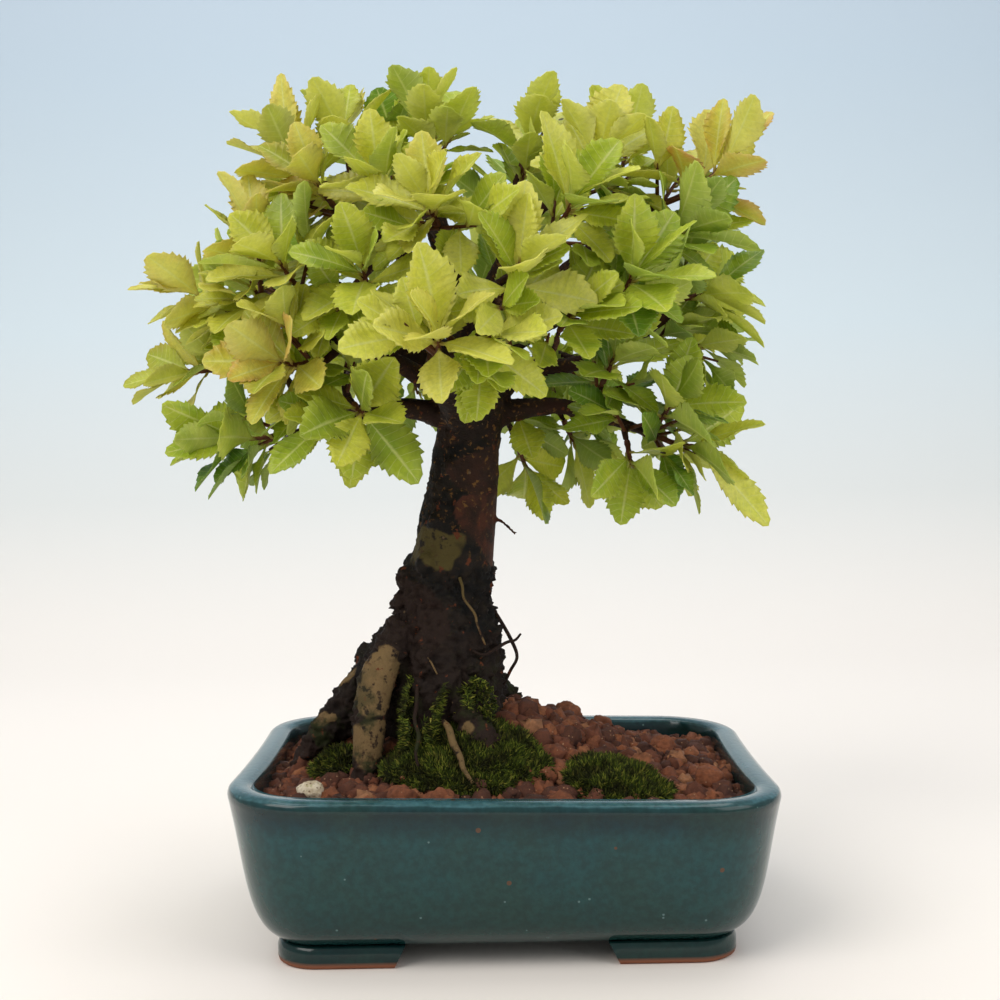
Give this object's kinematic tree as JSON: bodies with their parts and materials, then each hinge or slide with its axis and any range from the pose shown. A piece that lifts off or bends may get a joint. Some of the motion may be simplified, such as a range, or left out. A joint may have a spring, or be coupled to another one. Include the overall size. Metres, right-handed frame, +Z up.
{
  "type": "bonsai tree in a pot",
  "caption": "Small leafy tree with a thick tapering trunk and spreading roots, growing in a low glazed rectangular pot on corner feet.",
  "frame": {"origin": "middle of the object's box at its base, on the plane the pot's feet stand on", "axes": "+Z up along the tree, +X to the right along the pot's long side seen from the front, +Y towards the back"},
  "size_m": [0.2316, 0.1914, 0.2996],
  "materials": {
    "glazed_clay": "gloss",
    "soil": "matte",
    "clay_grain": "matte",
    "pumice": "matte",
    "moss": "matte",
    "bark": "matte",
    "leaf": "satin",
    "screen": "matte",
    "wire": "satin"
  },
  "bodies": {
    "root": {"drain_screen_left": "screen", "drain_screen_right": "screen", "grain_back_far": "clay_grain", "grain_back_near": "clay_grain", "grain_front_left": "clay_grain", "grain_front_mid": "clay_grain", "grain_right": "clay_grain", "grain_right_back": "clay_grain", "moss_front": "moss", "moss_left": "moss", "moss_right": "moss", "pot": "glazed_clay", "pumice": "pumice", "soil": "soil", "spray_back_crown": "leaf", "spray_back_crown_left": "leaf", "spray_back_left_edge": "leaf", "spray_back_left_out": "leaf", "spray_back_low_left": "leaf", "spray_back_low_right": "leaf", "spray_back_mid": "leaf", "spray_back_right_edge": "leaf", "spray_back_right_out": "leaf", "spray_crown": "leaf", "spray_crown_right": "leaf", "spray_front": "leaf", "spray_front_crown": "leaf", "spray_front_crown_left": "leaf", "spray_front_high": "leaf", "spray_front_low": "leaf", "spray_front_right": "leaf", "spray_hanging": "leaf", "spray_high_front_right": "leaf", "spray_high_right": "leaf", "spray_high_right_back": "leaf", "spray_left_edge": "leaf", "spray_left_edge_low": "leaf", "spray_left_front": "leaf", "spray_left_high_front": "leaf", "spray_left_inner": "leaf", "spray_left_low": "leaf", "spray_left_mid_front": "leaf", "spray_left_upright": "leaf", "spray_mid_left_front": "leaf", "spray_mid_right_front": "leaf", "spray_right_edge": "leaf", "spray_right_edge_low": "leaf", "spray_right_front": "leaf", "spray_right_inner": "leaf", "spray_right_inner_low": "leaf", "spray_right_low": "leaf", "spray_right_low_front": "leaf", "spray_right_low_up": "leaf", "spray_right_upper": "leaf", "spray_sprig": "leaf", "spray_top_left": "leaf", "spray_top_left_back": "leaf", "spray_upper_left": "leaf", "tie_wire": "wire", "trunk": "bark"}
  },
  "joints": []
}
